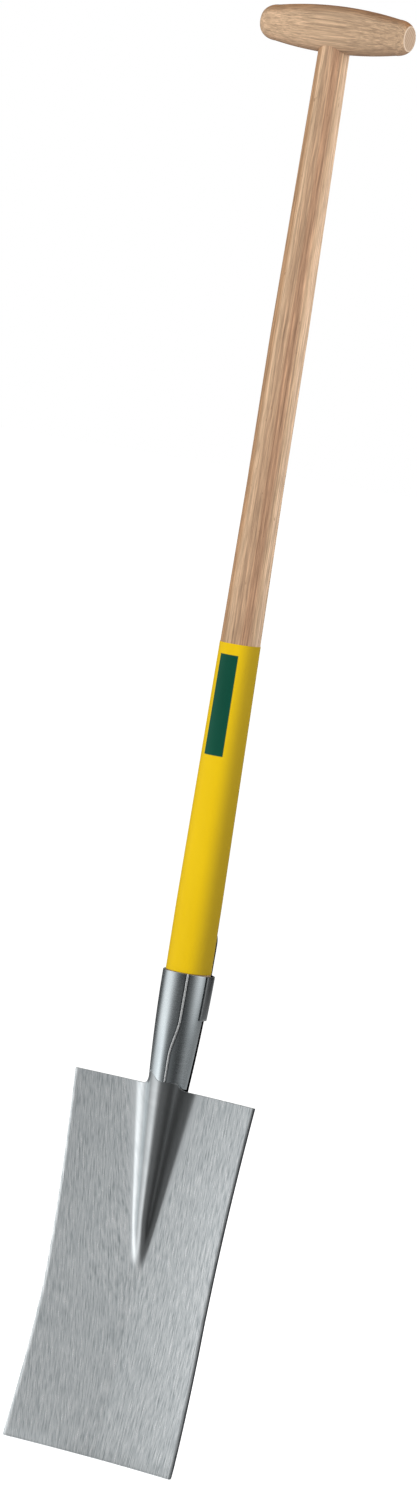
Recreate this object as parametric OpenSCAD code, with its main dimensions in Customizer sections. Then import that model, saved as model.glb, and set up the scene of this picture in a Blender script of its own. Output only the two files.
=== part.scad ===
// Trenching spade: a dished steel blade with a pressed dome, a socket strapped to an ash shaft,
// a film sleeve above the socket and a turned cross grip.
// Millimetres. The origin is the middle of the cutting edge, +Z runs up along the shaft
// and the hollow front face of the blade looks to -Y.

/* [Blade] */
// Height from the cutting edge to the shoulders
blade_h = 300; // [250:5:350]
// Width across the shoulders
blade_top_w = 166; // [150:1:190]
// Width at the waist
blade_waist_w = 150; // [130:1:165]
// Width of the cutting edge
blade_edge_w = 157; // [140:1:180]
// Height of the waist above the cutting edge
blade_waist_z = 125; // [90:5:170]
// Thickness of the plate
blade_t = 2.2; // [1.6:0.1:3]
// Thickness left at the cutting edge
edge_t = 1.2; // [0.8:0.1:1.6]
// Height of the bevel above the cutting edge
edge_bevel_h = 9; // [5:1:15]
// Radius of the two corners of the cutting edge
toe_corner_r = 1.8; // [0.6:0.1:4]
// Radius of the two corners of the shoulders
shoulder_corner_r = 0.6; // [0.4:0.1:4]
// Depth of the hollow across the waist
dish = 3.2; // [1:0.1:8]
// Lean of the plate away from the shaft, in degrees
plate_lean = 4.1; // [0:0.1:8]
// Height at which the toe starts to curve forward
toe_z = 150; // [60:5:200]
// Radius of the toe's curve
toe_r = 830; // [500:10:2000]

/* [Dome] */
// Distance from the shoulders down to the dome's tip
dome_drop = 150; // [110:5:190]
// Half width of the dome at its tip
dome_tip_half = 5; // [4:0.5:9]
// Length over which the dome's tip fades into the plate
dome_fade = 14; // [10:1:50]
// Radius of the fillet round the foot of the dome
dome_fillet = 21; // [12:0.5:28]
// Rise of the dome above the shoulders, up to the socket
neck_rise = 6; // [3:0.5:10]
// Distance from the plate's middle back to the socket's axis, at the neck
plate_set = 1.7; // [0:0.1:4]

/* [Socket] */
// Thickness of the sheet in the socket and the strap
sheet_t = 1.8; // [1.4:0.1:2.4]
// Length from the neck to the rim
socket_len = 88; // [75:1:110]
// Outer diameter at the neck
neck_d = 33.8; // [30:0.2:37]
// Exponent of the taper from the rim to the neck, where 1 is a straight cone
neck_curve = 1.8; // [1:0.1:3]
// Angle from the front to each side edge, in degrees
socket_half_angle = 92; // [86:1:100]
// Forward lean of the socket from the shaft, in degrees
head_lean = 2; // [0:0.1:4]
// Width of the front seam
seam_w = 1.8; // [1:0.1:3]
// Height of the front seam above the sheet
seam_h = 0.5; // [0.3:0.1:1]
// Angle of the seam from the front at the rim, in degrees
seam_top_angle = 28; // [10:1:40]
// Angle of the seam from the front at the neck, in degrees
seam_low_angle = 15; // [0:1:30]
// Length of the straight stretch of the seam below the rim
seam_straight_len = 40; // [30:1:46]
// Length of the slanting stretch of the seam
seam_slant_len = 24; // [15:1:35]

/* [Collar] */
// Height of the collar
collar_h = 36; // [28:1:44]
// Thickness of the collar
collar_t = 1.2; // [0.8:0.1:2]
// Angle from the front to the right edge, in degrees
collar_right_angle = 76; // [60:1:88]
// Angle from the front to the left edge, in degrees
collar_left_angle = 87; // [60:1:88]

/* [Back strap] */
// Width of the strap below the collar, along its curve
strap_w = 33; // [28:1:40]
// Width of the tongue above the rim, along its curve
tongue_w = 29; // [22:1:32]
// Height of the tongue above the rim
tongue_h = 37; // [30:1:50]
// Distance from the shoulders down to the strap's foot
strap_drop = 112; // [100:1:120]
// Length of the flat foot that lies on the blade
strap_flat_len = 26; // [16:1:32]
// Radius of the two corners of the foot
strap_corner_r = 9; // [4:1:12]

/* [Shaft] */
// Height from the cutting edge to the top of the grip
overall_h = 1172.6; // [1060:0.2:1300]
// Diameter of the thick stretch at the rim
belly_d = 36.2; // [34:0.2:38]
// Length of the thick stretch above the rim
belly_len = 56; // [20:1:90]
// Diameter of the parallel stretch
clip_d = 30; // [28:0.2:32]
// Length of the parallel stretch
clip_len = 120; // [80:5:150]
// Distance from the grip's axis down to the parallel stretch
clip_drop = 244; // [200:1:280]
// Diameter of the tenon in the grip
tenon_d = 25.2; // [23:0.2:27]
// Length of the tenon's straight stretch that shows below the grip
tenon_below = 4; // [1:0.5:8]
// Reach of the tenon past the grip's axis
tenon_past = 8; // [4:0.5:10]
// Depth of the shoulder inside the rim
shoulder_drop = 2; // [1.5:0.5:4]
// Loss of radius at the shoulder
nose_step = 0.3; // [0.3:0.05:0.6]
// Length of the tapered nose below the neck
nose_len = 14; // [8:1:18]
// Diameter of the end of the nose
nose_d = 20; // [14:1:22]

/* [Sleeve] */
// Length of the sleeve
sleeve_len = 266; // [120:1:300]
// Thickness of the film
sleeve_t = 0.3; // [0.2:0.05:0.6]

/* [Grip] */
// Length of the grip
grip_len = 130; // [110:1:150]
// Diameter at the middle
grip_d = 37.8; // [36:0.2:42]
// Radius of the barrel's bow
grip_bow_r = 320; // [250:5:600]
// Length of each rounded end
grip_round = 11; // [6:0.5:16]
// Diameter of the flat at each end
grip_flat_d = 19.5; // [10:0.5:24]
// Turn of each rounded end from the side to the flat, in degrees
grip_end_turn = 60; // [40:5:90]

/* [Fasteners] */
// Diameter of the grip's pin
pin_d = 5; // [4:0.5:6]
// Wood left in front of the grip's pin
pin_blind = 6; // [3:0.5:8]
// Depth of the pin's end below the grip's back
pin_sink = 0.4; // [0.2:0.1:1]
// Diameter of the strap screws' heads
screw_head_d = 8.4; // [7:0.2:10]
// Height of the strap screws' heads
screw_head_h = 2.6; // [2:0.1:3.5]
// Diameter of the strap screws' shanks
screw_d = 4.4; // [3.6:0.2:5]
// Length of the strap screws under the head
screw_len = 24; // [18:1:28]
// Diameter of the strap screws' blunt tips
screw_tip_d = 0.8; // [0.6:0.1:1.6]
// Length of the screws' points
screw_point_len = 6; // [3:0.5:8]
// Distance from the tongue's top down to its screw
tongue_screw_drop = 15; // [11:1:20]
// Distance from the rim down to the neck's screw
neck_screw_drop = 58; // [46:1:66]

/* [Clearances] */
// Gap round pins, screws and the tenon
bore_gap = 0.2; // [0.1:0.05:0.4]
// Gap between sheet pieces that lap or lie on each other
lap_gap = 0.15; // [0.1:0.05:0.3]
// Gap between the film and what it lies on or clears
film_gap = 0.05; // [0.02:0.01:0.1]
// Gap between the wood and the hollow of the dome
wood_gap = 0.4; // [0.3:0.1:1]
// Gap between the sleeve and the socket's rim
sleeve_lift = 1; // [0.5:0.1:3]

/* [Hidden] */
$fn = 96;

// Steps of the blade's mesh across half its width and along its height
crown_steps = 6;
fillet_steps = 6;
plate_steps = 5;
side_steps = crown_steps + fillet_steps + plate_steps;
blade_rows = 24;
corner_steps = 3;
// Steps of the socket's wall along its height
wall_steps = 8;
// Steps of the strap's mesh across half its width and along its stretches
strap_steps = 7;
tail_rows = 12;
tongue_rows = 8;
// Steps of the grip's outline
barrel_steps = 12;
round_steps = 8;

// Curve exponents of the blade's sides above and below the waist, and of its sweep up to the socket
flare_up = 1.75;
flare_down = 1.15;
sweep_up = 4;
// Smallest slope and curvature that stand for a flat
flat_slope = 0.01;
flat_bend = 0.0004;
// Overlap that ties joined solids together
bond = 0.3;
// Overrun of every cutting tool past the face that it cuts
overrun = 20;

// Heights above the cutting edge
neck_z = blade_h + neck_rise;
dome_tip_z = blade_h - dome_drop;
strap_foot_z = blade_h - strap_drop;
rim_z = neck_z + socket_len;
grip_z = overall_h - grip_d / 2;
belly_z = rim_z + belly_len;
clip_top_z = grip_z - clip_drop;
clip_z = clip_top_z - clip_len;
tenon_z = grip_z - grip_d / 2 - tenon_below;
tenon_top_z = grip_z + tenon_past;
sleeve_z = rim_z + sleeve_lift;
sleeve_top_z = sleeve_z + sleeve_len;

// The plate's middle surface on its centre line, from the cutting edge up
function toe(z) = pow(max(0, toe_z - z), 2) / (2 * toe_r);
function plate_y(z) = z * tan(plate_lean) + toe(0) - toe(z);

// The socket's axis leans forward below the rim and meets the shaft's axis there
shaft_y = plate_y(neck_z) + plate_set + socket_len * tan(head_lean);
function head_y(z) = shaft_y + (z - rim_z) * tan(head_lean);

// Radii of the socket's outer face, down from the rim
wood_r = belly_d / 2;
socket_in_r = wood_r + sleeve_t + 2 * film_gap + lap_gap;
rim_r = socket_in_r + sheet_t;
neck_r = neck_d / 2;
function socket_r(drop) = rim_r - (rim_r - neck_r) * pow(max(0, drop) / socket_len, neck_curve);

function mix(a, b, k) = a + (b - a) * k;
function ease(k) = k * k * (3 - 2 * k);
// Loss of half width at a given distance from an end with rounded corners
function corner_loss(from_end, r) = from_end >= r ? 0 : r - sqrt(r * r - pow(r - from_end, 2));

// Closed sheet between two grids of points of the same size
module pressed_sheet(front, back) {
    rows = len(front);
    cols = len(front[0]);
    total = rows * cols;
    last_row = rows - 1;
    last_col = cols - 1;
    function at(r, c) = r * cols + c;
    function quad(a, b, c, d) = [[a, b, c], [a, c, d]];
    faces = concat(
        [for (r = [0:last_row - 1], c = [0:last_col - 1], f = quad(
            at(r, c), at(r + 1, c), at(r + 1, c + 1), at(r, c + 1))) f],
        [for (r = [0:last_row - 1], c = [0:last_col - 1], f = quad(
            total + at(r, c), total + at(r, c + 1), total + at(r + 1, c + 1), total + at(r + 1, c))) f],
        [for (c = [0:last_col - 1], f = quad(
            at(0, c), at(0, c + 1), total + at(0, c + 1), total + at(0, c))) f],
        [for (c = [0:last_col - 1], f = quad(
            at(last_row, c + 1), at(last_row, c), total + at(last_row, c), total + at(last_row, c + 1))) f],
        [for (r = [0:last_row - 1], f = quad(
            at(r + 1, 0), at(r, 0), total + at(r, 0), total + at(r + 1, 0))) f],
        [for (r = [0:last_row - 1], f = quad(
            at(r, last_col), at(r + 1, last_col), total + at(r + 1, last_col), total + at(r, last_col))) f]);
    points = concat([for (row = front, p = row) p], [for (row = back, p = row) p]);
    polyhedron(points, faces, convexity = 6);
}

// Blade outline
function half_w(z) =
    (z >= blade_waist_z
        ? mix(blade_waist_w, blade_top_w, pow((z - blade_waist_z) / (blade_h - blade_waist_z), flare_up))
        : mix(blade_waist_w, blade_edge_w, pow((blade_waist_z - z) / blade_waist_z, flare_down))) / 2
    - corner_loss(z, toe_corner_r) - corner_loss(blade_h - z, shoulder_corner_r);
function plate_t(z) = mix(edge_t, blade_t, min(1, z / edge_bevel_h));
function dish_at(x) = dish * pow(x / (blade_waist_w / 2), 2);
function dish_slope(x) = 2 * dish * x / pow(blade_waist_w / 2, 2);

// Dome: a round crown and a fillet meet at a slope, and both shrink towards the tip
crown_r = neck_r - blade_t / 2;
foot_r = dome_fillet + blade_t / 2;
crown_share = crown_r / (crown_r + foot_r);
dome_slope = acos(1 - (crown_r - plate_set) / (crown_r + foot_r));
dome_half = (crown_r + foot_r) * sin(dome_slope);
function dome_up(z) = min(1, max(0, (z - dome_tip_z) / (neck_z - dome_tip_z)));
function half_at(z) = mix(dome_tip_half, dome_half, dome_up(z));
function slope_at(z) = max(flat_slope, dome_slope * ease(min(1, max(0, (z - dome_tip_z) / dome_fade))));
// Crown and fillet radii together, at the dome's width and slope there
function reach_at(z) = half_at(z) / sin(slope_at(z));

// Slope, distance from the centre line and height over the plate, at a step out from the centre
function step_slope(step, z) =
    step <= crown_steps ? slope_at(z) * step / crown_steps
    : step <= crown_steps + fillet_steps ? slope_at(z) * (1 - (step - crown_steps) / fillet_steps)
    : 0;
function step_x(step, z) =
    step <= crown_steps ? crown_share * reach_at(z) * sin(step_slope(step, z))
    : step <= crown_steps + fillet_steps
        ? half_at(z) - (1 - crown_share) * reach_at(z) * sin(step_slope(step, z))
    : mix(half_at(z), half_w(z), (step - crown_steps - fillet_steps) / plate_steps);
function step_rise(step, z) =
    step <= crown_steps
        ? half_at(z) * tan(slope_at(z) / 2)
            - crown_share * reach_at(z) * (1 - cos(step_slope(step, z)))
    : (1 - crown_share) * reach_at(z) * (1 - cos(step_slope(step, z)));
// The shoulders sweep up along the fillet to the socket
function step_top(step) =
    neck_rise * pow(min(1, max(0, crown_steps + fillet_steps - step) / fillet_steps), sweep_up);

// Point of the blade, half a thickness to the front (1) or the back (-1) of its middle surface
function blade_point(column, row_z, face) =
    let (
        step = abs(column),
        z = row_z * (1 + step_top(step) / blade_h),
        plate_z = min(z, blade_h),
        slope = step_slope(step, step <= crown_steps + fillet_steps ? z : plate_z),
        x = step_x(step, step <= crown_steps + fillet_steps ? z : plate_z),
        tilt_x = sin(slope) - dish_slope(x) * cos(slope),
        tilt_y = cos(slope),
        half_t = face * plate_t(z) / 2 / norm([tilt_x, tilt_y]),
        ahead = dish_at(x) + step_rise(step, z) + tilt_y * half_t
    )
    [sign(column) * (x + tilt_x * half_t), plate_y(z) - ahead, z];

blade_heights = concat(
    [for (k = [0:corner_steps]) toe_corner_r * (1 - cos(90 * k / corner_steps))],
    [edge_bevel_h],
    [for (k = [1:blade_rows]) mix(edge_bevel_h, blade_h - shoulder_corner_r, k / blade_rows)],
    [for (k = [1:corner_steps]) blade_h - shoulder_corner_r * (1 - sin(90 * k / corner_steps))]);

module blade() {
    color("silver")
    pressed_sheet(
        [for (z = blade_heights) [for (c = [-side_steps:side_steps]) blade_point(c, z, 1)]],
        [for (z = blade_heights) [for (c = [-side_steps:side_steps]) blade_point(c, z, -1)]]);
}

// Places its children on the socket's axis, with the rim at zero
module on_head() {
    translate([0, shaft_y, rim_z])
    rotate([-head_lean, 0, 0])
    children();
}

// Part of a turned shell, from a profile of radius and height, about a middle direction
module arc_shell(profile, middle, half) {
    rotate([0, 0, middle - half])
    rotate_extrude(angle = 2 * half)
    polygon(profile);
}

front_way = -90;
back_way = 90;
socket_drop = socket_len + overrun;
// Wall of a given length below the rim, between two offsets from the socket's outer face
function wall(length, inner, outer) = concat(
    [for (k = [0:wall_steps]) let (drop = length * k / wall_steps) [socket_r(drop) + outer, -drop]],
    [for (k = [wall_steps:-1:0]) let (drop = length * k / wall_steps) [socket_r(drop) + inner, -drop]]);

// Middle line of the front seam, seen from the front
seam_slant_z = seam_straight_len + seam_slant_len;
seam_line = [
    [rim_r * sin(seam_top_angle), 0],
    [socket_r(seam_straight_len) * sin(seam_top_angle), -seam_straight_len],
    [socket_r(seam_slant_z) * sin(seam_low_angle), -seam_slant_z],
    [socket_r(socket_drop) * sin(seam_low_angle), -socket_drop]];
module seam_strip() {
    rotate([90, 0, 0])
    linear_extrude(rim_r + overrun)
    polygon(concat(
        [for (k = [0:1:3]) seam_line[k] + [seam_w / 2, 0]],
        [for (k = [3:-1:0]) seam_line[k] - [seam_w / 2, 0]]));
}

// Cuts the socket's foot along the blade's top edge, as seen from the front
function foot_point(column) =
    let (p = blade_point(column, blade_h, 1))
    [p[0], p[2] + lap_gap];
module foot_cut() {
    translate([0, shaft_y + 2 * rim_r, 0])
    rotate([90, 0, 0])
    linear_extrude(4 * rim_r)
    polygon(concat(
        [for (c = [-side_steps:-crown_steps]) foot_point(c)],
        [for (c = [crown_steps:side_steps]) foot_point(c)],
        [[half_w(blade_h), neck_z - 2 * overrun], [-half_w(blade_h), neck_z - 2 * overrun]]));
}

module socket() {
    color("gainsboro")
    difference() {
        on_head() {
            arc_shell(wall(socket_drop, -sheet_t, 0), front_way, socket_half_angle);
            intersection() {
                arc_shell(wall(socket_drop, -bond, seam_h), front_way, socket_half_angle);
                seam_strip();
            }
        }
        foot_cut();
    }
}

// Seat radius and height above the rim of the neck's screw and the tongue's screw
screw_seats = [
    [socket_r(neck_screw_drop - screw_head_d / 2) + lap_gap, -neck_screw_drop],
    [rim_r + lap_gap, tongue_h - tongue_screw_drop]];
module at_screws() {
    for (seat = screw_seats)
    on_head()
    translate([0, seat[0], seat[1]])
    rotate([-90, 0, 0])
    children();
}
module screw_bores() {
    at_screws()
    translate([0, 0, -screw_len - bore_gap])
    cylinder(d = screw_d + 2 * bore_gap, h = screw_len + overrun);
}

module collar() {
    color("silver")
    on_head()
    arc_shell(
        wall(collar_h, lap_gap, lap_gap + collar_t),
        back_way + (collar_right_angle - collar_left_angle) / 2,
        180 - (collar_right_angle + collar_left_angle) / 2);
}

// Strap: half width, bend and back line at a height
tongue_top_z = rim_z + tongue_h;
collar_foot_z = rim_z - collar_h;
tongue_tip = 1.5;
function strap_half(z) =
    mix(strap_w, tongue_w, ease(min(1, max(0, (z - collar_foot_z) / collar_h)))) / 2
    - corner_loss(z - strap_foot_z, strap_corner_r)
    - corner_loss(tongue_top_z - z, tongue_w / 2 - tongue_tip);
strap_bend_z = strap_foot_z + strap_flat_len;
function strap_up(z) = ease(min(1, max(0, (z - strap_bend_z) / (neck_z - strap_bend_z))));
function strap_r(z) = socket_r(rim_z - z) - sheet_t / 2;
// The bend lags behind the lift, so that the strap's edges clear the plate
bend_lag = 1.5;
function strap_bend(z) = max(flat_bend, pow(strap_up(z), bend_lag) / strap_r(z));
function strap_y(z) = mix(
    plate_y(z) + blade_t / 2 + lap_gap + sheet_t / 2,
    head_y(z) + strap_r(z),
    strap_up(z));
function strap_point(column, z, face) =
    let (
        bend = strap_bend(z),
        turn = strap_half(z) * bend * column / strap_steps * 180 / PI,
        x = sin(turn) / bend,
        flat_share = 1 - strap_up(z)
    )
    [x - face * sin(turn) * sheet_t / 2,
     strap_y(z) - (1 - cos(turn)) / bend - flat_share * dish_at(x) - face * cos(turn) * sheet_t / 2,
     z];
tongue_arc_z = tongue_top_z - tongue_w / 2 + tongue_tip;
strap_heights = concat(
    [for (k = [0:corner_steps]) strap_foot_z + strap_corner_r * (1 - cos(90 * k / corner_steps))],
    [for (k = [1:tail_rows]) mix(strap_foot_z + strap_corner_r, neck_z, k / tail_rows)],
    [mix(neck_z, collar_foot_z, 0.5), collar_foot_z],
    [for (k = [1:tongue_rows]) mix(collar_foot_z, rim_z, k / tongue_rows)],
    [for (k = [0:tongue_rows]) mix(tongue_arc_z, tongue_top_z, sin(90 * k / tongue_rows))]);

module back_strap() {
    color("dimgray")
    difference() {
        pressed_sheet(
            [for (z = strap_heights) [for (c = [-strap_steps:strap_steps]) strap_point(c, z, 1)]],
            [for (z = strap_heights) [for (c = [-strap_steps:strap_steps]) strap_point(c, z, -1)]]);
        screw_bores();
    }
}

// Round-head wood screw with its seat at zero and its point down
module wood_screw() {
    dome_r = (pow(screw_head_d / 2, 2) + pow(screw_head_h, 2)) / (2 * screw_head_h);
    intersection() {
        translate([0, 0, screw_head_h - dome_r])
        sphere(r = dome_r);
        cylinder(d = screw_head_d, h = screw_head_h);
    }
    translate([0, 0, screw_point_len - screw_len])
    cylinder(d = screw_d, h = screw_len - screw_point_len + bond);
    translate([0, 0, -screw_len])
    cylinder(d1 = screw_tip_d, d2 = screw_d, h = screw_point_len);
}

module strap_screws() {
    color("darkgray")
    at_screws()
    wood_screw();
}

// Shaft: radius at a height above the rim
function shaft_r(z) =
    z <= belly_z ? wood_r
    : z <= clip_z ? mix(wood_r, clip_d / 2, (z - belly_z) / (clip_z - belly_z))
    : z <= clip_top_z ? clip_d / 2
    : z <= tenon_z ? mix(clip_d / 2, tenon_d / 2, (z - clip_top_z) / (tenon_z - clip_top_z))
    : tenon_d / 2;

// Bore of the grip's pin, open at the back
module pin_bore(radius) {
    translate([0, shaft_y - grip_d / 2 + pin_blind, grip_z])
    rotate([-90, 0, 0])
    cylinder(r = radius, h = grip_d + overrun);
}

// The nose starts at a small shoulder in the rim and follows the socket's lean
nose_r = wood_r - nose_step;
nose_bury = 5;
wood_off = rim_r - nose_r;
module shaft() {
    color("burlywood")
    difference() {
        union() {
            translate([0, shaft_y, 0])
            rotate_extrude()
            polygon(concat(
                [[0, rim_z - shoulder_drop], [wood_r, rim_z - shoulder_drop]],
                [for (z = [belly_z, clip_z, clip_top_z, tenon_z, tenon_top_z]) [shaft_r(z), z]],
                [[0, tenon_top_z]]));
            on_head()
            rotate_extrude()
            polygon([
                [0, nose_bury],
                [nose_r, nose_bury],
                [nose_r, 0],
                [socket_r(collar_h) - wood_off, -collar_h],
                [neck_r - blade_t - wood_gap, -socket_len],
                [nose_d / 2, -socket_len - nose_len],
                [0, -socket_len - nose_len]]);
        }
        screw_bores();
        pin_bore(pin_d / 2 + bore_gap);
    }
}

sleeve_stations = [sleeve_z, belly_z, sleeve_top_z];
module sleeve() {
    color("gold")
    difference() {
        translate([0, shaft_y, 0])
        rotate_extrude()
        polygon(concat(
            [for (z = sleeve_stations) [shaft_r(z) + film_gap + sleeve_t, z]],
            [for (k = [2:-1:0]) [shaft_r(sleeve_stations[k]) + film_gap, sleeve_stations[k]]]));
        screw_bores();
    }
}

// Grip: radius of the barrel at a distance from its middle
function barrel_r(x) = grip_d / 2 - grip_bow_r + sqrt(grip_bow_r * grip_bow_r - x * x);
barrel_half = grip_len / 2 - grip_round;
function end_r(turn) =
    mix(barrel_r(barrel_half), grip_flat_d / 2, (1 - cos(turn)) / (1 - cos(grip_end_turn)));
grip_side = concat(
    [for (k = [0:barrel_steps]) let (x = barrel_half * k / barrel_steps) [barrel_r(x), x]],
    [for (k = [1:round_steps]) let (turn = grip_end_turn * k / round_steps)
        [end_r(turn), barrel_half + grip_round * sin(turn) / sin(grip_end_turn)]]);
grip_outline = concat(
    [[0, -grip_len / 2]],
    [for (k = [len(grip_side) - 1:-1:1]) [grip_side[k][0], -grip_side[k][1]]],
    grip_side,
    [[0, grip_len / 2]]);

module grip() {
    color("burlywood")
    difference() {
        translate([0, shaft_y, grip_z])
        rotate([0, 90, 0])
        rotate_extrude()
        polygon(grip_outline);
        translate([0, shaft_y, grip_z - grip_d])
        cylinder(d = tenon_d + 2 * bore_gap, h = grip_d + tenon_past + bore_gap);
        pin_bore(pin_d / 2 + bore_gap);
    }
}

module grip_pin() {
    color("dimgray")
    translate([0, shaft_y - grip_d / 2 + pin_blind + bore_gap, grip_z])
    rotate([-90, 0, 0])
    cylinder(d = pin_d, h = grip_d - pin_blind - pin_sink - bore_gap);
}

blade();
socket();
collar();
back_strap();
strap_screws();
shaft();
sleeve();
grip();
grip_pin();
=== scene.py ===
"""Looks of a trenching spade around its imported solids, in the solids' frame.

Sizes are written in millimetres and scaled to metres where meshes are made.
"""

from math import acos, asin, cos, degrees, exp, hypot, inf, pi, radians, sin, sqrt, tan

import bmesh
import bpy
import numpy as np
from mathutils import Matrix, Vector


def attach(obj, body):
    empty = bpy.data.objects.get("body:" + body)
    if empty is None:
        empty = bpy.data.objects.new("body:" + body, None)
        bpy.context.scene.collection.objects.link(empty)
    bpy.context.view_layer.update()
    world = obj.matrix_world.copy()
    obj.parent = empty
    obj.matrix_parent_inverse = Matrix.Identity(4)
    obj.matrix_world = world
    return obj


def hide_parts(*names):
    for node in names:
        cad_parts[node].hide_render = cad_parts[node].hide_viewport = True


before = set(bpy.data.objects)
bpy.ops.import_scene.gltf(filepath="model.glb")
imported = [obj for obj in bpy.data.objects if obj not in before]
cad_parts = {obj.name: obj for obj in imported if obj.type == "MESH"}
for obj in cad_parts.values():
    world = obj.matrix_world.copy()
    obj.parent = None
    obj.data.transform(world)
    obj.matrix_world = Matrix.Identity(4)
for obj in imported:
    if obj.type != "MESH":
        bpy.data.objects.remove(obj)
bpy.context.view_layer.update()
scene = bpy.context.scene
MM = 0.001

# Sizes of the solids
BLADE_H, TOP_W, WAIST_W, EDGE_W, WAIST_Z = 300.0, 166.0, 150.0, 157.0, 125.0
BLADE_T, EDGE_T, BEVEL_H, TOE_CORNER, SHOULDER_CORNER = 2.2, 1.2, 9.0, 1.8, 0.6
DISH, PLATE_LEAN, TOE_Z, TOE_R = 3.2, radians(4.1), 150.0, 830.0
FLARE_UP, FLARE_DOWN, SWEEP_UP = 1.75, 1.15, 4
DOME_TIP_Z, DOME_TIP_HALF, DOME_FILLET = 150.0, 5.0, 21.0
NECK_RISE, PLATE_SET = 6.0, 1.7
SHEET_T, SOCKET_LEN, NECK_R, NECK_CURVE = 1.8, 88.0, 16.9, 1.8
SOCKET_HALF, HEAD_LEAN = radians(92), radians(2)
SEAM_W, SEAM_H, SEAM_TOP, SEAM_LOW = 1.8, 0.5, radians(28), radians(15)
SEAM_STRAIGHT, SEAM_SLANT = 40.0, 24.0
COLLAR_H, COLLAR_T, COLLAR_RIGHT, COLLAR_LEFT = 36.0, 1.2, radians(76), radians(87)
STRAP_W, TONGUE_W, TONGUE_H, STRAP_FOOT_Z, STRAP_FLAT, STRAP_CORNER = 33.0, 29.0, 37.0, 188.0, 26.0, 9.0
TONGUE_TIP, BEND_LAG, FLAT_BEND = 1.5, 1.5, 0.0004
OVERALL_H, WOOD_R, BELLY_LEN = 1172.6, 18.1, 56.0
CLIP_R, CLIP_LEN, CLIP_DROP = 15.0, 120.0, 244.0
TENON_R, TENON_BELOW, TENON_PAST, SHOULDER_DROP = 12.6, 4.0, 8.0, 2.0
NOSE_STEP, NOSE_LEN, NOSE_END_R, WOOD_GAP = 0.3, 14.0, 10.0, 0.4
SLEEVE_LEN, SLEEVE_T, FILM_GAP, SLEEVE_LIFT = 266.0, 0.3, 0.05, 1.0
GRIP_LEN, GRIP_R, GRIP_BOW, GRIP_ROUND, GRIP_FLAT_R = 130.0, 18.9, 320.0, 11.0, 9.75
GRIP_END_TURN = radians(60)
PIN_R, PIN_BLIND, PIN_SINK = 2.5, 6.0, 0.4
SCREW_HEAD_R, SCREW_HEAD_H, SCREW_R, SCREW_LEN, SCREW_POINT = 4.2, 2.6, 2.2, 24.0, 6.0
SCREW_TIP_R, TONGUE_SCREW_DROP, NECK_SCREW_DROP, LAP_GAP, BORE_GAP = 0.4, 15.0, 58.0, 0.15, 0.2

# The dome departs from the solid's here: its tip fades out more slowly and lies right of the middle
DOME_FADE, DOME_DRIFT = 48.0, 5.0

NECK_Z = BLADE_H + NECK_RISE
RIM_Z = NECK_Z + SOCKET_LEN
GRIP_Z = OVERALL_H - GRIP_R
BELLY_Z = RIM_Z + BELLY_LEN
CLIP_TOP_Z = GRIP_Z - CLIP_DROP
CLIP_Z = CLIP_TOP_Z - CLIP_LEN
TENON_Z = GRIP_Z - GRIP_R - TENON_BELOW
TONGUE_TOP_Z = RIM_Z + TONGUE_H
RIM_R = WOOD_R + SLEEVE_T + 2 * FILM_GAP + LAP_GAP + SHEET_T
CROWN_R = NECK_R - BLADE_T / 2
FOOT_R = DOME_FILLET + BLADE_T / 2
CROWN_SHARE = CROWN_R / (CROWN_R + FOOT_R)
DOME_SLOPE = acos(1 - (CROWN_R - PLATE_SET) / (CROWN_R + FOOT_R))
DOME_HALF = (CROWN_R + FOOT_R) * sin(DOME_SLOPE)


def mix(a, b, k):
    return a + (b - a) * k


def ease(k):
    k = min(1.0, max(0.0, k))
    return k * k * (3 - 2 * k)


def quarter(angle):
    """Share of a rounding's radius that is passed at an angle along it."""
    return 1 - cos(radians(angle))


def corner_loss(from_end, r):
    """Loss of half width near an end with rounded corners, or of thickness near a rounded edge."""
    return 0.0 if from_end >= r else r - sqrt(max(0.0, r * r - (r - from_end) ** 2))


def toe(z):
    return max(0.0, TOE_Z - z) ** 2 / (2 * TOE_R)


def plate_y(z):
    return z * tan(PLATE_LEAN) + toe(0) - toe(z)


SHAFT_Y = plate_y(NECK_Z) + PLATE_SET + SOCKET_LEN * tan(HEAD_LEAN)


def head_y(z):
    return SHAFT_Y + (z - RIM_Z) * tan(HEAD_LEAN)


def socket_r(drop):
    return RIM_R - (RIM_R - NECK_R) * (max(0.0, drop) / SOCKET_LEN) ** NECK_CURVE


def on_head(x, y, h):
    """A point on the socket's leaning axis, with the rim at zero height, in the part's frame."""
    c, s = cos(HEAD_LEAN), sin(HEAD_LEAN)
    return x, SHAFT_Y + y * c + h * s, RIM_Z - y * s + h * c


# Meshes

# Angle in degrees above which an edge is shaded sharp, and the distance in metres at which points are merged
SHARP, MERGED = 40, 1e-7
# Radius below which a turned profile meets its axis
AXIS_R = 1e-6
# Corners of a flat square, in order
SQUARE = ((-1, -1), (1, -1), (1, 1), (-1, 1))


def solid(name, points, faces):
    """A closed mesh object with its faces turned outwards."""
    mesh = bpy.data.meshes.new(name)
    mesh.from_pydata([tuple(c * MM for c in p) for p in points], [], faces)
    bm = bmesh.new()
    bm.from_mesh(mesh)
    bmesh.ops.remove_doubles(bm, verts=bm.verts, dist=MERGED)
    bmesh.ops.recalc_face_normals(bm, faces=bm.faces)
    bm.to_mesh(mesh)
    bm.free()
    obj = bpy.data.objects.new(name, mesh)
    scene.collection.objects.link(obj)
    return obj


def piece(name, points, faces, node, slot, material, sharp=SHARP):
    """A named mesh that rides on the part and stands for one of its solids."""
    obj = solid(name, points, faces)
    finish_mesh(obj.data, material, sharp)
    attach(obj, "root")
    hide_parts(node)
    return obj


def finish_mesh(mesh, material, sharp):
    mesh.materials.clear()
    mesh.materials.append(material)
    mesh.polygons.foreach_set("use_smooth", [True] * len(mesh.polygons))
    mesh.set_sharp_from_angle(angle=radians(sharp))


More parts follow.
